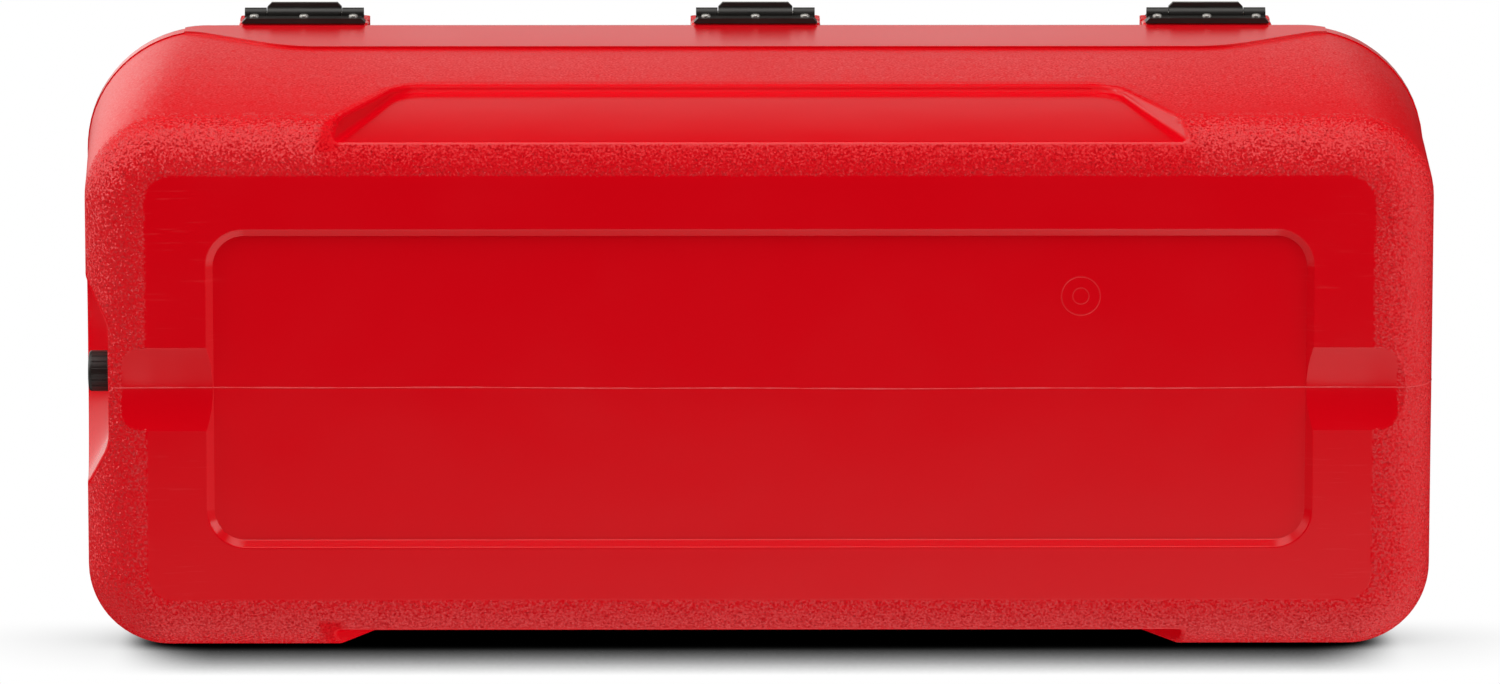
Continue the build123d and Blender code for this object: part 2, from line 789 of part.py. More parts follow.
# End handles, a swinging bail with a grip, held by two brackets in each end pocket
pivot_rise = pivot_height / cos(radians(wall_draft))
for end_name, side in (("drain_end", 1), ("plain_end", -1)):
    plane = end_plane(side).offset(-pivot_sink)
    path = FilletPolyline(
        (-bail_half_span, pivot_rise),
        (-bail_half_span, pivot_rise - bail_drop),
        (bail_half_span, pivot_rise - bail_drop),
        (bail_half_span, pivot_rise),
        radius=bail_corner,
    )
    ring = Plane(origin=(-bail_half_span, pivot_rise, 0), z_dir=(0, -1, 0)) * Circle(bail_radius)
    bail = sweep(ring, path)
    for turn in (-1, 1):
        bail = bail + Pos(turn * bail_half_span, pivot_rise, 0) * Sphere(bail_radius)
        pin_length = bail_radius + bracket_gap + bracket_width - 1
        bail = bail + rod(
            pivot_radius,
            (turn * bail_half_span, pivot_rise, 0),
            pin_length,
            (turn, 0, 0),
        )
    save(f"handle_{end_name}_bail", plane * bail)

    grip_start = (-grip_length / 2, pivot_rise - bail_drop, 0)
    grip = rod(grip_radius, grip_start, grip_length, (1, 0, 0))
    grip = fillet(grip.edges().filter_by(GeomType.CIRCLE), grip_edge_round)
    grip = grip - rod(bail_radius + grip_clearance, grip_start, grip_length, (1, 0, 0))
    save(f"handle_{end_name}_grip", plane * grip)

    for turn, turn_name in ((1, "first"), (-1, "second")):
        across = turn * (bail_half_span + bail_radius + bracket_gap + bracket_width / 2)
        depth = pocket_depth - pivot_sink
        lug = Pos(across, pivot_rise, (bracket_nose - depth) / 2) * Box(
            bracket_width, bracket_height, bracket_nose + depth
        )
        lug = fillet(lug.edges().filter_by(Axis.X).group_by(Axis.Z)[-1], bracket_round)
        foot = Pos(across, pivot_rise - foot_drop, -depth + foot_thickness / 2) * Box(
            bracket_width, foot_height, foot_thickness
        )
        bracket = lug + foot - rod(
            pivot_radius + pivot_clearance,
            (across - bracket_width, pivot_rise, 0),
            2 * bracket_width,
            (1, 0, 0),
        )
        for drop in foot_screw_drops:
            bracket = bracket - rod(
                screw_shank + screw_clearance,
                (across, pivot_rise - drop, -depth - 1),
                foot_thickness + 2,
                (0, 0, 1),
            )
        save(f"handle_{end_name}_bracket_{turn_name}", plane * bracket)

    handle_screws = []
    for spot_side, across, drop in foot_spots:
        if spot_side == side:
            seat, inward = foot_screw_seat(side, across, drop)
            handle_screws.append(pan_screw(seat, inward, foot_screw_length, head=foot_screw_head))
    save(f"handle_{end_name}_screws", *handle_screws)
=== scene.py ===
from math import cos, pi, radians, sin, tan

import bpy
import numpy as np
from mathutils import Matrix, Vector


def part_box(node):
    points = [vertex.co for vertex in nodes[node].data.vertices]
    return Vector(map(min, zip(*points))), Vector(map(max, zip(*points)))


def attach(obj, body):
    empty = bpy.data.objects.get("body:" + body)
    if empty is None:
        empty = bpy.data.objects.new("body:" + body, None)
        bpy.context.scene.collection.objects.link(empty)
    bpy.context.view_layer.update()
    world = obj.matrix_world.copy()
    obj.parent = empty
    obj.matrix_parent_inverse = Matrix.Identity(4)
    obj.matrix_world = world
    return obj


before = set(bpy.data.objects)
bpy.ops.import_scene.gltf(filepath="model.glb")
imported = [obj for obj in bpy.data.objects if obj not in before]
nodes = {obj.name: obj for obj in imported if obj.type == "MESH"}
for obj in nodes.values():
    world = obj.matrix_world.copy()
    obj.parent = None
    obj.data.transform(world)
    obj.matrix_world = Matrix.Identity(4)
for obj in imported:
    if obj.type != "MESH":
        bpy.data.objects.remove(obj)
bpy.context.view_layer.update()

# Body shell. The outer box of the cooler, blow moulded in red polyethylene in a two-part mould.
# Walls and round edges are pebbled; the base, the recesses and the rim band come out smooth.
# The base falls away a little from the joint of the mould halves, so each half opens freely.
shell_red = (0.71, 0.0008, 0.0065)
shell_red_chalky = (0.74, 0.014, 0.020)
body_middle = (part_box("body_liner")[0].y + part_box("body_liner")[1].y) / 2


def put(tree, kind, inputs=None, **settings):
    """Adds a node, sets its options, and feeds each input with a value or another node's output."""
    made = tree.nodes.new("ShaderNode" + kind)
    for key, value in settings.items():
        setattr(made, key, value)
    for key, value in (inputs or {}).items():
        if isinstance(value, bpy.types.NodeSocket):
            tree.links.new(value, made.inputs[key])
        else:
            made.inputs[key].default_value = value
    return made


def reckon(tree, operation, *values):
    """Arithmetic on values or sockets, from the first to the last."""
    result = values[0]
    for value in values[1:]:
        result = put(tree, "Math", {0: result, 1: value}, operation=operation).outputs[0]
    return result


def times(tree, *values):
    """Product of values or sockets."""
    return reckon(tree, "MULTIPLY", *values)


def plus(tree, *values):
    """Sum of values or sockets."""
    return reckon(tree, "ADD", *values)


def minus(tree, first, second):
    """Difference of two values or sockets."""
    return reckon(tree, "SUBTRACT", first, second)


def largest(tree, *values):
    """Largest of several values or sockets."""
    return reckon(tree, "MAXIMUM", *values)


def distance(tree, value, centre=0.0):
    """How far a value lies from a centre, on either side."""
    return reckon(tree, "ABSOLUTE", minus(tree, value, centre), 0.0)


def fade(tree, value, start, end):
    """Goes smoothly from 0 at the start value to 1 at the end value."""
    inputs = {"Value": value, "From Min": start, "From Max": end}
    return put(tree, "MapRange", inputs, interpolation_type="SMOOTHSTEP").outputs[0]


def between(tree, share, at_none, at_full):
    """Straight mix of two values by a share from 0 to 1."""
    return put(tree, "MapRange", {"Value": share, "To Min": at_none, "To Max": at_full}).outputs[0]


def speckle(tree, place, scale, detail):
    """Soft random field of about 0 to 1, with a grain of one over the scale in metres."""
    return put(tree, "TexNoise", {"Vector": place, "Scale": scale, "Detail": detail})


def rounded_zone(tree, across, along, half_across, half_along, corner, soft=0.003):
    """Mask of a rounded rectangle: the length of what lies past the straight edges, against the corner."""
    past_across = largest(tree, minus(tree, across, half_across - corner), 0.0)
    past_along = largest(tree, minus(tree, along, half_along - corner), 0.0)
    past = put(tree, "CombineXYZ", {0: past_across, 1: past_along}).outputs[0]
    length = put(tree, "VectorMath", {0: past}, operation="LENGTH").outputs["Value"]
    return fade(tree, length, corner + soft / 2, corner - soft / 2)


def start_material(name, colour, roughness):
    """New material with its shader at a plain colour and roughness, and the place on the piece."""
    material = bpy.data.materials.new(name)
    material.use_nodes = True
    tree = material.node_tree
    shader = tree.nodes["Principled BSDF"]
    shader.inputs["Base Color"].default_value = (*colour, 1.0)
    shader.inputs["Roughness"].default_value = roughness
    return material, tree, shader, put(tree, "TexCoord").outputs["Object"]


def tint(tree, shader, share, plain, tinted):
    """Colours the shader between a plain and a tinted colour."""
    mixed = put(tree, "MixRGB", {0: share, 1: (*plain, 1.0), 2: (*tinted, 1.0)})
    tree.links.new(mixed.outputs[0], shader.inputs["Base Color"])


def pebbled_normal(tree, place, amount, lean=0.0):
    """Surface direction leaned by the bulge of the wall, and tipped at random from grain to grain."""
    grains = speckle(tree, place, scale=580.0, detail=1.5).outputs["Color"]
    tip = put(tree, "VectorMath", {0: grains, 1: (0.5, 0.5, 0.5)}, operation="SUBTRACT").outputs[0]
    tip = put(tree, "VectorMath", {0: tip, "Scale": amount}, operation="SCALE").outputs[0]
    straight = put(tree, "NewGeometry").outputs["Normal"]
    leaned = put(tree, "CombineXYZ", {2: lean}).outputs[0]
    straight = put(tree, "VectorMath", {0: straight, 1: leaned}, operation="ADD").outputs[0]
    tipped = put(tree, "VectorMath", {0: straight, 1: tip}, operation="ADD").outputs[0]
    return put(tree, "VectorMath", {0: tipped}, operation="NORMALIZE").outputs[0]


def dress(material, *names):
    """Gives a carried-over piece its material in place of the plain one."""
    for name in names:
        nodes[name].data.materials.clear()
        nodes[name].data.materials.append(material)


body_red, tree, shader, place = start_material("moulded_red_body", shell_red, roughness=0.4)
x, y, z = put(tree, "SeparateXYZ", {0: place}).outputs
wide = distance(tree, x)
back = minus(tree, y, body_middle)
deep = distance(tree, back)

# Zones of the mould with a polished face: base, grooves, toe recesses, rim band, drain and pockets.
toe_end_slope = 0.3288
band_end_slope = 1.227
band_end_start = 0.3485
band_level_half = 0.081
band_top = 0.384
drain_floor = 0.465
drain_side_slope = 1.88
drain_aside = 0.002
pocket_height = 0.297
base_flat = rounded_zone(tree, wide, deep, half_across=0.4376, half_along=0.1537, corner=0.019)
groove_skin = rounded_zone(tree, wide, deep, half_across=0.455, half_along=0.029, corner=0.012)
toe_across = plus(tree, wide, times(tree, z, toe_end_slope))
toe = rounded_zone(tree, toe_across, z, half_across=0.309, half_along=0.150, corner=0.026)
toe = times(tree, toe, fade(tree, deep, 0.1735, 0.1765))
band_end = minus(tree, plus(tree, wide, band_end_start), times(tree, z, band_end_slope))
band_across = largest(tree, band_end, minus(tree, wide, band_level_half))
band_down = minus(tree, band_top, z)
band = rounded_zone(tree, band_across, band_down, half_across=0.346, half_along=0.1, corner=0.02)
band = times(tree, band, fade(tree, back, 0.150, 0.152))
rim = fade(tree, z, 0.3492, 0.3502)
flare = times(tree, largest(tree, minus(tree, x, drain_floor), 0.0), drain_side_slope)
drain_across = minus(tree, distance(tree, back, drain_aside), flare)
drain_up = minus(tree, z, flare)
drain_zone = rounded_zone(tree, drain_across, drain_up, half_across=0.047, half_along=0.108, corner=0.024)
drain_zone = times(tree, drain_zone, fade(tree, x, 0.4638, 0.4654))
pocket_up = distance(tree, z, pocket_height)
pocket = rounded_zone(tree, deep, pocket_up, half_across=0.101, half_along=0.045, corner=0.020)
pocket = times(tree, pocket, fade(tree, wide, 0.440, 0.442))
smooth = largest(tree, base_flat, groove_skin, toe, band, rim, drain_zone, pocket)
pebbled = minus(tree, 1.0, smooth)

# Shape of the skin: fall of the base, dish of the grooves, bulge of the walls, and grain.
base_curve = -0.085
base_slope = -0.002
groove_curve = 0.85
groove_slope = 0.006
groove_dip = 0.00095
ripple_height = 0.0002
wall_straight_height = 0.33
wall_bulge = -0.42
wall_middle_lean = 0.030
toe_middle_height = 0.115
toe_bulge = -0.37
inner = reckon(tree, "MINIMUM", deep, 0.152)
fall = plus(tree, times(tree, inner, inner, base_curve), times(tree, inner, base_slope))
in_groove = reckon(tree, "MINIMUM", deep, 0.030)
dish = plus(tree, times(tree, in_groove, in_groove, groove_curve), times(tree, in_groove, groove_slope))
dish = minus(tree, dish, groove_dip)
groove_run = times(tree, fade(tree, wide, 0.385, 0.415), fade(tree, wide, 0.458, 0.430))
ripples = speckle(tree, place, scale=14.0, detail=1.0).outputs[0]
fall = plus(tree, fall, times(tree, dish, groove_run), times(tree, ripples, ripple_height))
wall_lean = times(tree, largest(tree, minus(tree, wall_straight_height, z), 0.0), wall_bulge)
wall_lean = plus(tree, wall_lean, times(tree, fade(tree, wide, 0.40, 0.20), wall_middle_lean))
toe_lean = times(tree, minus(tree, toe_middle_height, z), toe_bulge)
lean = between(tree, toe, wall_lean, toe_lean)
coarse = between(tree, fade(tree, z, 0.022, 0.050), at_none=2.8, at_full=0.45)
grain = pebbled_normal(tree, place, times(tree, pebbled, coarse), lean)
bump = put(tree, "Bump", {"Height": fall, "Strength": 1.0, "Distance": 1.0, "Normal": grain})
tree.links.new(bump.outputs[0], shader.inputs["Normal"])

# Gloss: rough on the pebbles, a broad sheen on the rim band, and matt on the steps of the recesses.
skin_least = 0.12
skin_spread = 0.06
band_dull = 0.07
pebble_dull = 0.18
band_gloss = 0.40
step_share = 0.85
foot_share = 0.6
clouds = speckle(tree, place, scale=11.0, detail=3.0).outputs[0]
skin = plus(tree, times(tree, clouds, skin_spread), skin_least)
skin = plus(tree, skin, times(tree, band, band_dull), times(tree, pebbled, pebble_dull))
tree.links.new(skin, shader.inputs["Roughness"])
gloss = between(tree, pebbled, at_none=0.30, at_full=0.36)
gloss = plus(tree, gloss, times(tree, band, band_gloss))
toe_rim = rounded_zone(tree, toe_across, z, half_across=0.318, half_along=0.160, corner=0.030, soft=0.006)
toe_floor = rounded_zone(tree, toe_across, z, half_across=0.301, half_along=0.141, corner=0.020, soft=0.006)
toe_step = times(tree, minus(tree, toe_rim, toe_floor), fade(tree, deep, 0.168, 0.172))
toe_step = times(tree, toe_step, fade(tree, x, -0.262, -0.245))
panel_step = times(tree, fade(tree, z, 0.0002, 0.0008), fade(tree, z, 0.0049, 0.0043))
panel_step = times(tree, panel_step, fade(tree, back, -0.107, -0.109), fade(tree, back, -0.119, -0.117))
panel_step = times(tree, panel_step, fade(tree, wide, 0.374, 0.366))
toe_foot = times(tree, fade(tree, toe_across, 0.318, 0.306), fade(tree, back, 0.150, 0.158))
toe_foot = times(tree, toe_foot, fade(tree, z, 0.040, 0.030))
toe_foot = times(tree, minus(tree, toe_foot, toe), foot_share)
matt_step = minus(tree, 1.0, times(tree, largest(tree, toe_step, panel_step, toe_foot), step_share))
tree.links.new(times(tree, gloss, matt_step), shader.inputs["Specular IOR Level"])

# Wear: fine scratches beside the ends of the base panel, and a faint chalky cloud all over.
scratch_share = 0.7
chalk_share = 0.06
streak_turn = (0.0, 0.0, 0.35)
streak_scale = (26.0, 420.0, 60.0)
streaks = put(tree, "Mapping", {"Vector": place, "Rotation": streak_turn, "Scale": streak_scale})
scratches = speckle(tree, streaks.outputs[0], scale=1.0, detail=2.0).outputs[0]
rub_middle = (0.415, 0.090)
rub_size = {"half_across": 0.026, "half_along": 0.060, "corner": 0.020, "soft": 0.03}
rub_across = distance(tree, wide, rub_middle[0])
rub_along = distance(tree, deep, rub_middle[1])
rubbed = rounded_zone(tree, rub_across, rub_along, **rub_size)
worn = times(tree, fade(tree, scratches, 0.60, 0.72), rubbed, scratch_share)
worn = plus(tree, worn, times(tree, fade(tree, clouds, 0.35, 0.75), chalk_share))
tint(tree, shader, worn, shell_red, shell_red_chalky)
dress(body_red, "body_shell")

# Parting flash. A fine raised line of squeezed-out plastic where the two mould halves met.
# It crosses the base through both end grooves and climbs the plain end up to the handle pocket.
flash_half_width = 0.0006
flash_height = 0.0004
flash_sink = 0.00012
flash_points_across = 7
groove_level = 0.0046
panel_level = 0.005
panel_half_length = 0.3895
flash_start = 0.4612
flash_end = -0.4607
end_round = 0.04
end_round_middle = -0.44204
end_round_turn = (62.3, 3.0)
end_wall = -0.480
wall_draft = radians(3.0)
wall_foot = 0.0385
pocket_foot = 0.2520
waver_middle = 0.75
waver_waves = ((0.18, 61.0, 0.0), (0.12, 173.0, 1.3), (0.08, 419.0, 0.0))
sway_waves = ((0.0005, 7.1, 0.6), (0.0002, 31.0, 0.0))


def parting_path(count):
    """Outline of the base in the middle plane: level across the base, round the end, then up the wall."""
    level = np.stack([np.linspace(flash_start, flash_end, count), np.full(count, groove_level)], 1)
    level[np.abs(level[:, 0]) < panel_half_length, 1] = panel_level
    turn = np.radians(np.linspace(*end_round_turn, count // 8))
    round_x = end_round_middle - end_round * np.cos(turn)
    round_end = np.stack([round_x, end_round - end_round * np.sin(turn)], 1)
    rise = np.linspace(wall_foot, pocket_foot, count // 4)
    wall = np.stack([end_wall - rise * tan(wall_draft), rise], 1)
    outward = np.concatenate([
        np.repeat([[0.0, -1.0]], count, 0),
        np.stack([-np.cos(turn), -np.sin(turn)], 1),
        np.repeat([[-cos(wall_draft), -sin(wall_draft)]], count // 4, 0),
    ])
    return np.concatenate([level, round_end, wall]), outward


def wave_sum(along, waves):
    """Sum of sines along a length, each with its own height, rate and start."""
    return sum(height * np.sin(along * rate + start) for height, rate, start in waves)


def flash_surface(count):
    """Parabola across the line, carried along the path, with width, height and sway from sums of sines."""
    path, outward = parting_path(count)
    along = np.cumsum(np.r_[0.0, np.linalg.norm(np.diff(path, axis=0), axis=1)])
    waver = waver_middle + wave_sum(along, waver_waves)
    sway = wave_sum(along, sway_waves)
    across = np.linspace(-1.0, 1.0, flash_points_across)
    crown = flash_height * (1.0 - across**2) - flash_sink
    proud = crown[None, :] * waver[:, None]
    surface = np.empty((len(path), flash_points_across, 3))
    surface[..., 0] = path[:, :1] + outward[:, :1] * proud
    surface[..., 1] = body_middle + sway[:, None] + across[None, :] * flash_half_width * waver[:, None]
    surface[..., 2] = path[:, 1:] + outward[:, 1:] * proud
    return surface


def grid_faces(rows, columns, closed_rows=False):
    """Corner numbers of the four-sided faces of a grid of points, row by row."""
    first = np.arange(rows if closed_rows else rows - 1)[:, None]
    second = np.arange(columns - 1)[None, :]
    after = (first + 1) % rows
    beside = second + 1
    near = [first * columns + second, after * columns + second]
    far = [after * columns + beside, first * columns + beside]
    return np.stack(np.broadcast_arrays(*near, *far), -1).reshape(-1, 4)


def new_piece(name, surface, body, material, closed_rows=False):
    """Puts a worked-out surface into a smooth mesh that rides on a body."""
    faces = grid_faces(*surface.shape[:2], closed_rows)
    mesh = bpy.data.meshes.new(name)
    mesh.from_pydata(surface.reshape(-1, 3).tolist(), [], faces.tolist())
    mesh.shade_smooth()
    mesh.materials.append(material)
    piece = bpy.data.objects.new(name, mesh)
    bpy.context.scene.collection.objects.link(piece)
    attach(piece, body)


flash_red, tree, shader, place = start_material("parting_flash_red", shell_red_chalky, roughness=0.33)
specks = speckle(tree, place, scale=260.0, detail=2.0).outputs[0]
tint(tree, shader, specks, shell_red, (0.80, 0.07, 0.08))
new_piece("parting_flash", flash_surface(900), "body", flash_red)

# Mould dial. Two plain raised rings on the recessed base panel, in the red of the shell.
# A round insert in the mould left them, and they are one moulding with the shell.
dial_place = (-0.2285, 0.0665, panel_level)
dial_rings = (("outer", 0.0138, 0.0007), ("inner", 0.0058, 0.0006))
dial_rise = 0.00015
dial_sink = 0.00005


def raised_ring(radius, half_width, count=96, points_across=9):
    """Low ring round a centre: a half-wave ridge carried round a circle, sunk a little into the panel."""
    turn = np.linspace(0.0, 2 * pi, count, endpoint=False)[:, None]
    step = np.linspace(-1.0, 1.0, points_across)[None, :]
    reach = radius + half_width * step
    ring = np.empty((count, points_across, 3))
    ring[..., 0] = dial_place[0] + reach * np.cos(turn)
    ring[..., 1] = body_middle + dial_place[1] + reach * np.sin(turn)
    ring[..., 2] = dial_place[2] - (dial_rise * np.cos(step * pi / 2) - dial_sink)
    return ring


def vary_roughness(tree, shader, field, least, spread):
    """Roughness from the least value up by a spread, along with a field of about 0 to 1."""
    tree.links.new(plus(tree, times(tree, field, spread), least), shader.inputs["Roughness"])


dial_red, tree, shader, place = start_material("mould_dial_red", shell_red, roughness=0.32)
grime = speckle(tree, place, scale=90.0, detail=2.0).outputs[0]
vary_roughness(tree, shader, grime, least=0.24, spread=0.14)
for ring_name, ring_radius, ring_half in dial_rings:
    ring = raised_ring(ring_radius, ring_half)
    new_piece("mould_dial_" + ring_name, ring, "body", dial_red, closed_rows=True)

# Foam. Rigid polyurethane foam, poured between the shell and the liner and into the lid.
# It fills the hollow walls, bonds to both skins and stays out of sight.
foam, tree, shader, place = start_material("poured_foam", (0.80, 0.72, 0.46), roughness=0.95)
cells = put(tree, "TexVoronoi", {"Vector": place, "Scale": 700.0}).outputs["Distance"]
tint(tree, shader, cells, (0.62, 0.53, 0.30), (0.84, 0.77, 0.52))
dress(foam, "body_foam", "lid_foam")

# Liner. A white vacuum-formed tub that drops into the shell and hangs by its flange on the rim.
# The pan that closes the lid from below is formed from the same white sheet.


def raise_skin(tree, shader, height, strength, depth):
    """Fine relief of the skin, to a depth in metres."""
    bump = put(tree, "Bump", {"Height": height, "Strength": strength, "Distance": depth})
    tree.links.new(bump.outputs[0], shader.inputs["Normal"])


liner_white, tree, shader, place = start_material("liner_white", (0.80, 0.80, 0.78), roughness=0.32)
haze = speckle(tree, place, scale=16.0, detail=4.0).outputs[0]
tint(tree, shader, haze, (0.83, 0.83, 0.815), (0.76, 0.76, 0.735))
vary_roughness(tree, shader, haze, least=0.24, spread=0.16)
orange_peel = speckle(tree, place, scale=320.0, detail=1.0).outputs[0]
raise_skin(tree, shader, orange_peel, strength=0.25, depth=0.0002)
dress(liner_white, "body_liner", "lid_liner")

# Drain. A white flanged spigot through the end wall, a rubber washer and a nut inside the tub,
# and a black ribbed cap with a soft seal that screws onto the stub outside.
plain_fitting = (0.76, 0.76, 0.74)
fitting_white, tree, shader, place = start_material("drain_fitting_white", plain_fitting, roughness=0.4)
cloud = speckle(tree, place, scale=180.0, detail=3.0).outputs[0]
tint(tree, shader, cloud, (0.80, 0.80, 0.78), (0.70, 0.70, 0.67))
dress(fitting_white, "drain_spigot", "drain_nut")


def soft_rubber(name, colour, grain):
    """Matt rubber with a dusty bloom and a fine skin."""
    material, tree, shader, place = start_material(name, colour, roughness=0.8)
    bloom = speckle(tree, place, grain, detail=3.0).outputs[0]
    tint(tree, shader, bloom, colour, tuple(min(1.0, channel * 1.5 + 0.01) for channel in colour))
    raise_skin(tree, shader, bloom, strength=0.3, depth=0.0002)
    return material


dress(soft_rubber("drain_rubber", (0.018, 0.018, 0.018), grain=400.0), "drain_washer", "drain_cap_seal")
black_plastic, tree, shader, place = start_material("moulded_black", (0.012, 0.0115, 0.011), roughness=0.36)
shader.inputs["Specular IOR Level"].default_value = 0.38
spark = speckle(tree, place, scale=900.0, detail=2.0).outputs[0]
handled = speckle(tree, place, scale=60.0, detail=3.0).outputs[0]
vary_roughness(tree, shader, handled, least=0.26, spread=0.22)
raise_skin(tree, shader, spark, strength=0.35, depth=0.00015)
tint(tree, shader, handled, (0.012, 0.0112, 0.0105), (0.023, 0.0215, 0.020))
dress(black_plastic, "drain_cap")

# End handles. A black bail swings in two brackets that are screwed to the floor of each end pocket,
# and a soft ribbed grip sits on its cross bar.
rib_pitch = 0.004
grip_rubber, tree, shader, place = start_material("ribbed_grip", (0.020, 0.020, 0.020), roughness=0.7)
along_bar = put(tree, "SeparateXYZ", {0: place}).outputs[1]
ribs = reckon(tree, "SINE", times(tree, along_bar, 2 * pi / rib_pitch), 0.0)
raise_skin(tree, shader, ribs, strength=0.8, depth=0.0005)
dust = speckle(tree, place, scale=220.0, detail=3.0).outputs[0]
tint(tree, shader, dust, (0.014, 0.014, 0.014), (0.034, 0.034, 0.033))
steel, tree, shader, place = start_material("screw_steel", (0.46, 0.45, 0.43), roughness=0.3)
shader.inputs["Metallic"].default_value = 1.0
turned = speckle(tree, place, scale=1400.0, detail=2.0).outputs[0]
vary_roughness(tree, shader, turned, least=0.38, spread=0.25)
for end_name in ("drain_end", "plain_end"):
    dress(black_plastic, f"handle_{end_name}_bail")
    dress(black_plastic, f"handle_{end_name}_bracket_first", f"handle_{end_name}_bracket_second")
    dress(grip_rubber, f"handle_{end_name}_grip")
    dress(steel, f"handle_{end_name}_screws")

# Hinges. Three black moulded hinges, each a body leaf and a lid leaf on a steel pin,
# held to the shell and to the lid by pan-head screws.
for hinge_name in ("left", "middle", "right"):
    dress(black_plastic, f"hinge_{hinge_name}_body_leaf", f"hinge_{hinge_name}_lid_leaf")
    dress(steel, f"hinge_{hinge_name}_pin")
dress(steel, "hinge_body_screws", "hinge_lid_screws")

# Lid. A blow-moulded red cover with a shallow panel on top, closed below by a white pan
# that hangs into the tub as a plug, with a grey gasket that meets the liner flange.
lid_grain = 2.1
lid_skin_least = 0.24
lid_skin_spread = 0.08
lid_pebble_dull = 0.12
lid_chalk_share = 0.16
lid_red, tree, shader, place = start_material("moulded_red_lid", shell_red, roughness=0.4)
x, y, z = put(tree, "SeparateXYZ", {0: place}).outputs
lid_wide = distance(tree, x)
lid_deep = distance(tree, y, body_middle)
panel = rounded_zone(tree, lid_wide, lid_deep, half_across=0.391, half_along=0.116, corner=0.031)
border = rounded_zone(tree, lid_wide, lid_deep, half_across=0.458, half_along=0.167, corner=0.045)
low_edge = fade(tree, z, 0.394, 0.392)
lid_pebbled = minus(tree, 1.0, largest(tree, minus(tree, border, panel), low_edge))
grain = pebbled_normal(tree, place, times(tree, lid_pebbled, lid_grain))
tree.links.new(grain, shader.inputs["Normal"])
clouds = speckle(tree, place, scale=11.0, detail=3.0).outputs[0]
skin = plus(tree, times(tree, clouds, lid_skin_spread), lid_skin_least)
tree.links.new(plus(tree, skin, times(tree, lid_pebbled, lid_pebble_dull)), shader.inputs["Roughness"])
worn = times(tree, fade(tree, clouds, 0.35, 0.75), lid_chalk_share)
tint(tree, shader, worn, shell_red, shell_red_chalky)
dress(lid_red, "lid_shell")
dress(soft_rubber("gasket_grey", (0.42, 0.42, 0.41), grain=240.0), "lid_gasket")

# Stage. Two floors, one under the front wall that the cooler lies on and one under its base.
# Each shows on its upper side only, with a painted shadow where the cooler comes close to it.
# The first is a clear sheet tinted by that painted shadow, so that it hides nothing behind it when the
# cooler stands upright.
front_wall_foot = 0.1905
lying_half = 3.0
lying_end = 0.2
lying_depth = 4.2
beside_depth = 0.35
upright_half = 60.0
upright_level = -0.0005
upright_depth = 1.2


def pale_floor(name, corners, reach, find_depth, see_through=False):
    """Flat floor seen from above only, white or clear, with a painted soft shadow of whatever lies close to
    it.
    """
    mesh = bpy.data.meshes.new(name)
    mesh.from_pydata(corners, [], [range(len(corners))])
    floor = bpy.data.objects.new(name, mesh)
    bpy.context.scene.collection.objects.link(floor)
    material = bpy.data.materials.new(name)
    material.use_nodes = True
    tree = material.node_tree
    tree.nodes.clear()
    # Painted shadow: the white glow, or the tint of the clear sheet, darkens by how closely the cooler hems
    # the floor in.
    close = put(tree, "AmbientOcclusion", {"Distance": reach}, samples=16).outputs["AO"]
    shade = reckon(tree, "POWER", close, find_depth(tree, put(tree, "TexCoord").outputs["Object"]))
    if see_through:
        shaded = put(tree, "BsdfTransparent", {"Color": shade})
    else:
        shaded = put(tree, "Emission", {"Color": (1.0, 1.0, 1.0, 1.0), "Strength": shade})
    clear = put(tree, "BsdfTransparent")
    behind = put(tree, "NewGeometry").outputs["Backfacing"]
    mixed = put(tree, "MixShader", {0: behind, 1: shaded.outputs[0], 2: clear.outputs[0]})
    put(tree, "OutputMaterial", {0: mixed.outputs[0]})
    mesh.materials.append(material)
    for kind in ("shadow", "diffuse", "glossy", "transmission"):
        setattr(floor, "visible_" + kind, False)


def lying_floor_corner(x, z):
    """Point on the plane of the front wall, just outside it."""
    return (x, body_middle - front_wall_foot - z * tan(wall_draft), z)


def lying_shade(tree, place):
    """Depth of the painted shadow: deep along the front of the cooler, faint beside its ends, and gone
    behind its base.
    """
    x, _, z = put(tree, "SeparateXYZ", {0: place}).outputs
    beside = fade(tree, distance(tree, x), 0.385, 0.465)
    return times(tree, between(tree, beside, lying_depth, beside_depth), fade(tree, z, 0.16, 0.04))


lying_corners = [
    lying_floor_corner(lying_half, -lying_half),
    lying_floor_corner(-lying_half, -lying_half),
    lying_floor_corner(-lying_half, lying_end),
    lying_floor_corner(lying_half, lying_end),
]
upright_corners = [
    (-upright_half, -upright_half, upright_level),
    (upright_half, -upright_half, upright_level),
    (upright_half, upright_half, upright_level),
    (-upright_half, upright_half, upright_level),
]
pale_floor("lying_floor", lying_corners, reach=0.115, find_depth=lying_shade, see_through=True)
pale_floor("upright_floor", upright_corners, reach=0.30, find_depth=lambda tree, place: upright_depth)

# Light. Soft boxes above, below and beside the lying cooler, and three more for the standing one.
# The surroundings are bright behind it, dim behind the camera and lit from the floor below.
left_glow = 1.2
right_glow = 0.30
overhead_glow = 2.6
left_way = (0.86, 0.50, 0.10)
overhead_way = (0.0, 0.978, -0.208)
warm_white = (1.0, 0.985, 0.95, 1.0)
plain_white = (1.0, 1.0, 1.0, 1.0)
world = bpy.data.worlds.new("studio")
bpy.context.scene.world = world
world.use_nodes = True
tree = world.node_tree
tree.nodes.clear()


def toward_way(tree, way, aim):
    """How closely a way points to an aim: their inner product."""
    return put(tree, "VectorMath", {0: way, 1: aim}, operation="DOT_PRODUCT").outputs["Value"]


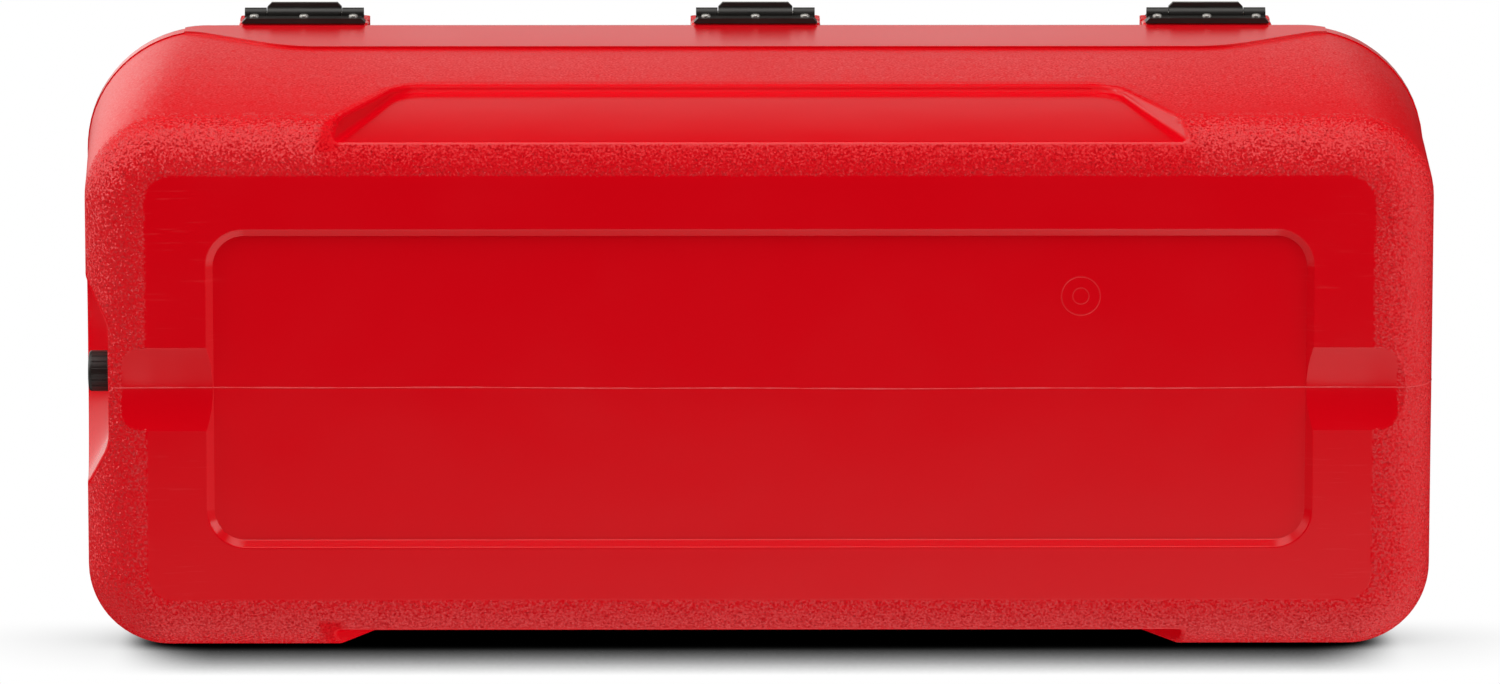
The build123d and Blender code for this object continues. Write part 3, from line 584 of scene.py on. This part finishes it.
way = put(tree, "TexCoord").outputs["Generated"]
way_x, way_y, way_z = put(tree, "SeparateXYZ", {0: way}).outputs
from_left = times(tree, fade(tree, toward_way(tree, way, left_way), 0.76, 0.95), left_glow)
from_right = times(tree, fade(tree, way_x, -0.45, -0.95), right_glow)
floor_ends = {"Value": way_x, "From Min": -0.08, "From Max": 0.08, "To Min": 1.30, "To Max": 0.50}
floor_glow = put(tree, "MapRange", floor_ends).outputs[0]
room = times(tree, fade(tree, way_y, -0.16, -0.30), floor_glow)
wall_glow = between(tree, fade(tree, way_x, 0.10, 0.22), at_none=0.55, at_full=1.1)
wall_glow = times(tree, wall_glow, minus(tree, 1.0, fade(tree, way_x, -0.10, -0.30)))
backdrop = times(tree, fade(tree, way_y, 0.46, 0.24), fade(tree, way_y, -0.14, -0.02), wall_glow)
around = between(tree, fade(tree, way_z, 0.25, 0.60), room, backdrop)
overhead = times(tree, fade(tree, toward_way(tree, way, overhead_way), 0.74, 0.92), overhead_glow)
glow = largest(tree, around, plus(tree, from_left, from_right), overhead)
seen = put(tree, "LightPath").outputs["Is Camera Ray"]
warmth = put(tree, "MixRGB", {0: seen, 1: warm_white, 2: plain_white}).outputs[0]
strength = between(tree, seen, at_none=glow, at_full=1.0)
background = put(tree, "Background", {"Color": warmth, "Strength": strength})
put(tree, "OutputWorld", {0: background.outputs[0]})


def soft_box(name, place, aim, width, height, power, mirrored=True):
    """Rectangular studio light at a place, turned to face a point, and mirrored in the plastic or not."""
    lamp = bpy.data.lights.new(name, "AREA")
    lamp.shape = "RECTANGLE"
    lamp.size = width
    lamp.size_y = height
    lamp.energy = power
    holder = bpy.data.objects.new(name, lamp)
    bpy.context.scene.collection.objects.link(holder)
    facing = (Vector(aim) - Vector(place)).to_track_quat("-Z", "Y").to_matrix().to_4x4()
    holder.matrix_world = Matrix.Translation(place) @ facing
    holder.visible_camera = False
    holder.visible_glossy = mirrored


soft_box("overhead_box", (-0.3, 1.9, -2.3), (0.0, 0.0, 0.1), 3.2, 1.6, power=13.0, mirrored=False)
soft_box("low_box", (0.0, -2.2, -1.8), (0.0, -0.1, 0.0), 2.4, 1.0, power=13.0, mirrored=False)
soft_box("left_box", (2.5, 1.25, -0.3), (0.3, 0.0, 0.1), 1.3, 1.3, power=18.0)
soft_box("right_box", (-2.6, 0.9, -0.6), (-0.3, 0.0, 0.1), 1.2, 1.2, power=15.0)
soft_box("front_box", (-1.6, -2.4, 2.2), (0.0, 0.0, 0.2), 2.0, 2.0, power=36.0, mirrored=False)
soft_box("side_box", (2.6, -1.2, 1.6), (0.0, 0.0, 0.2), 1.6, 1.6, power=30.0, mirrored=False)
soft_box("top_box", (0.4, -0.3, 3.0), (0.0, 0.0, 0.4), 2.2, 2.2, power=42.0, mirrored=False)

# Camera, below the base and a little towards the hinges, with the hinges at the top of the picture.
# The middle of the base falls on a set spot of the picture, at a set scale.
tilt = radians(9.9)
yaw = radians(0.5)
roll = radians(0.05)
away = 6.6
sensor_width = 36.0
picture_width = 1500
picture_height = 684
pixels_per_metre = 1403.0
base_spot = (760.0, 389.2)
toward = Vector((sin(yaw) * cos(tilt), sin(tilt), -cos(yaw) * cos(tilt)))
level_right = (-toward).cross(Vector((0.0, 1.0, 0.0))).normalized()
level_up = level_right.cross(-toward)
right = level_right * cos(roll) + level_up * sin(roll)
up = level_up * cos(roll) - level_right * sin(roll)
camera = bpy.data.cameras.new("camera")
camera.sensor_width = sensor_width
camera.lens = sensor_width * pixels_per_metre * away / picture_width
camera.clip_end = 200.0
camera_holder = bpy.data.objects.new("camera", camera)
bpy.context.scene.collection.objects.link(camera_holder)
spot = Vector((0.0, body_middle, 0.0)) + away * toward
spot += right * (picture_width / 2 - base_spot[0]) / pixels_per_metre
spot += up * (base_spot[1] - picture_height / 2) / pixels_per_metre
camera_holder.matrix_world = Matrix.Translation(spot) @ Matrix((right, up, toward)).transposed().to_4x4()
bpy.context.scene.camera = camera_holder
bpy.context.scene.view_settings.view_transform = "Standard"
